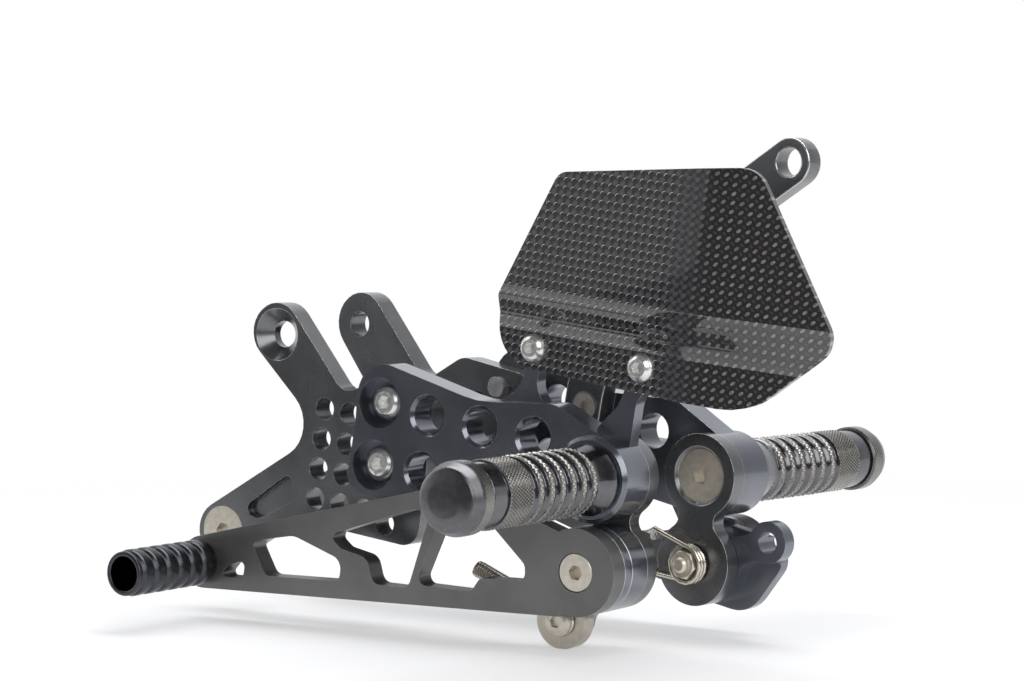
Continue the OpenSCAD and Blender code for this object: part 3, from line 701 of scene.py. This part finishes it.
class REARSETS_OT_levers(bpy.types.Operator):
    """Shift and brake levers, their spacers and arms"""

    bl_idname = "rearsets.levers"
    bl_label = "Levers"

    def execute(self, context):
        # Blasting scatters the light, so the levers are flat grey beside their bright arms
        lever = anodised(
            "Aluminium, bead blasted and anodised grey",
            base=looks().lever,
            rough=0.42,
            grain=0.4 * MM,
            coat=0.15,
        )
        arm = anodised(
            "Aluminium, bright milled and anodised",
            base=looks().bracket,
            rough=0.22,
            grain=0.3 * MM,
            coat=0.4,
        )
        dress(["shift_lever", "brake_lever"], lever, edge_material(), sizes().edge_break)
        names = ["shift_spacer", "shift_arm", "brake_spacer", "brake_arm"]
        dress(names, arm, edge_material(), sizes().edge_break)
        return {"FINISHED"}


class REARSETS_OT_pegs(bpy.types.Operator):
    """Foot pegs with their caps and knurls, and the toe pegs"""

    bl_idname = "rearsets.pegs"
    bl_label = "Pegs"

    def execute(self, context):
        # Turned barrels carry a long highlight, faced ends are duller, and the knurl's
        # points break the light up
        finish, rings, width = looks(), 0.6 * MM, sizes().screw_break
        peg, toe, cut, cap = (
            machined(f"Aluminium, {way}", base, rough, rings, "Y")
            for way, base, rough in (
                ("turned and anodised graphite", finish.peg, 0.13),
                ("turned and anodised black", finish.toe, 0.28),
                ("knurled and anodised", finish.knurl, 0.24),
                ("faced and anodised graphite", finish.peg, 0.32),
            )
        )
        dress(["left_foot_peg", "right_foot_peg"], peg, None, width)
        dress(["left_peg_cap", "right_peg_cap"], cap, edge_material(), width)
        dress(["shift_toe_peg", "brake_toe_peg"], toe, None, width)
        fine = round(2 * math.pi * PEG_R / sizes().knurl)
        # A knurl's diamonds are longer along the peg than round it
        step = sizes().knurl * 0.8
        for half in HALVES:
            start, out = axis_of(half, PEG_AT, (0, -1, 0))
            mesh = bmesh.new()
            for i in range(RIBS):
                land = [RIBS_FROM + i * RIB_PITCH + edge for edge in RIB_LAND]
                knurl_band(mesh, start, out, land, PEG_R, RIB_RISE, RIB_POINTS, RIB_STEP)
            knurl_band(mesh, start, out, KNURL_BAND, PEG_R, BAND_RISE, fine, step)
            knurl_band(mesh, start, out, CAP_RIM, CAP_R, RIM_RISE, fine, step)
            new_piece(f"{half}_peg_knurl", mesh, cut, "halves")
        return {"FINISHED"}


class REARSETS_OT_fasteners(bpy.types.Operator):
    """Screws, bolts, nuts, bushes, dowels, rod end and spring"""

    bl_idname = "rearsets.fasteners"
    bl_label = "Fasteners"

    def execute(self, context):
        width = sizes().screw_break
        polished = [
            "left_bracket_bolts", "right_bracket_bolts", "guard_screws", "shift_toe_bolt",
            "brake_toe_bolt", "spring_pin", "shift_dowels", "brake_dowels", "shift_bush",
            "brake_bush", "rod_end_ball",
        ]
        dress(polished, stainless(), None, width)
        brushed = [
            "left_frame_screw", "left_peg_bolt", "right_peg_bolt", "hanger_screws",
            "shift_pivot_bolt", "shift_pivot_nut", "brake_pivot_bolt", "brake_pivot_nut",
            "rod_end_screw",
        ]
        dress(brushed, plated(), None, width)
        # Oiled steel is warm and soft, drawn wire as smooth as the die that it came through
        rod = machined(
            "Steel, turned and oiled", base=looks().rod, rough=0.3, ring=0.6 * MM, axis="X"
        )
        dress(["rod_end"], rod, None, width)
        wire = machined(
            "Spring steel, drawn wire", base=looks().plated, rough=0.2, ring=0.5 * MM, axis="Y"
        )
        dress(["return_spring"], wire, None, 0)
        thread_ridge("rod_end_thread", *ROD_THREAD, rod, "rod_end_body")
        thread_ridge("frame_screw_thread", *FRAME_SCREW_THREAD, plated(), "halves")
        return {"FINISHED"}


class REARSETS_OT_guard(bpy.types.Operator):
    """Heel guard in lacquered carbon cloth"""

    bl_idname = "rearsets.guard"
    bl_label = "Heel guard"

    def execute(self, context):
        cloth = carbon("Carbon fibre, plain woven and lacquered", sizes().tow)
        dress(["heel_guard"], cloth, None, sizes().guard_round, GUARD_ANGLE)
        return {"FINISHED"}


def soft_lamp(name, place, aim, size, power):
    """A rectangular soft box that points at a spot."""
    lamp = bpy.data.lights.new(name, "AREA")
    lamp.shape = "RECTANGLE"
    lamp.size, lamp.size_y = size
    lamp.energy = power
    box = bpy.data.objects.new(name, lamp)
    bpy.context.collection.objects.link(box)
    box.location = place
    box.rotation_euler = (Vector(aim) - Vector(place)).to_track_quat("-Z", "Y").to_euler()


def studio_world(name):
    """A white room for the camera and clear pieces, and for the rest one lit from behind."""
    world = bpy.data.worlds.new(name)
    world.use_nodes = True
    tree = world.node_tree
    tree.nodes.clear()
    path = node(tree, "ShaderNodeLightPath", {})
    rays = {0: path.outputs["Is Camera Ray"], 1: path.outputs["Is Transmission Ray"]}
    seen = node(tree, "ShaderNodeMath", rays, operation="MAXIMUM")
    # The sweep behind is white, the ceiling and the room in front of it are dim
    where = node(tree, "ShaderNodeTexCoord", {}).outputs["Generated"]
    back = node(tree, "ShaderNodeVectorMath", {0: where, 1: ROOM_BACK}, operation="DOT_PRODUCT")
    reach = {"Value": back, "From Max": 0.5, "To Min": ROOM_DIM, "To Max": 1.0}
    level = node(tree, "ShaderNodeMapRange", reach)
    plain = node(tree, "ShaderNodeBackground", {"Color": WHITE, "Strength": 1.0})
    soft = node(tree, "ShaderNodeBackground", {"Color": ROOM_WHITE, "Strength": level})
    mix = node(tree, "ShaderNodeMixShader", {0: seen, 1: soft, 2: plain})
    node(tree, "ShaderNodeOutputWorld", {"Surface": mix})
    return world


class REARSETS_OT_stage(bpy.types.Operator):
    """Pale floor, soft studio light, white background and camera"""

    bl_idname = "rearsets.stage"
    bl_label = "Stage"

    def execute(self, context):
        stage = context.scene.rear_set_stage
        bpy.ops.mesh.primitive_plane_add(size=SHEET_SIZE, location=SHEET_AT)
        floor = context.active_object
        floor.name = "floor_sweep"
        floor.data.materials.append(paper("Paper sweep, matt white", stage.floor))
        for name, values in LAMPS.items():
            soft_lamp(name, *values)
        context.scene.world = studio_world("Studio white")
        context.scene.view_settings.view_transform = "Standard"
        lens = bpy.data.cameras.new("Photo camera")
        lens.lens = stage.lens
        lens.sensor_width = 36
        lens.clip_start = 0.01
        camera = bpy.data.objects.new("Photo camera", lens)
        context.collection.objects.link(camera)
        camera.location = stage.place
        camera.rotation_euler = (stage.tilt, 0, stage.turn)
        context.scene.camera = camera
        return {"FINISHED"}


class REARSETS_PT_panel(bpy.types.Panel):
    """Buttons that dress the rear sets and set the stage"""

    bl_label = "Rear Sets"
    bl_space_type = "VIEW_3D"
    bl_region_type = "UI"
    bl_category = "Rear Sets"

    def draw(self, context):
        for group in GROUPS:
            settings = getattr(context.scene, group)
            for key in settings.__annotations__:
                self.layout.prop(settings, key)
        for operator in OPERATORS:
            self.layout.operator(operator.bl_idname)


OPERATORS = (
    REARSETS_OT_plates,
    REARSETS_OT_brackets,
    REARSETS_OT_levers,
    REARSETS_OT_pegs,
    REARSETS_OT_fasteners,
    REARSETS_OT_guard,
    REARSETS_OT_stage,
)
GROUPS = {
    "rear_set_finish": RearSetFinish,
    "rear_set_sizes": RearSetSizes,
    "rear_set_stage": RearSetStage,
}
CLASSES = (*GROUPS.values(), *OPERATORS, REARSETS_PT_panel)


def register():
    for item in CLASSES:
        bpy.utils.register_class(item)
    for name, group in GROUPS.items():
        setattr(bpy.types.Scene, name, bpy.props.PointerProperty(type=group))


def unregister():
    for name in GROUPS:
        delattr(bpy.types.Scene, name)
    for item in reversed(CLASSES):
        bpy.utils.unregister_class(item)


def main():
    register()
    for operator in OPERATORS:
        getattr(bpy.ops.rearsets, operator.bl_idname.split(".")[1])()


if __name__ == "__main__":
    main()
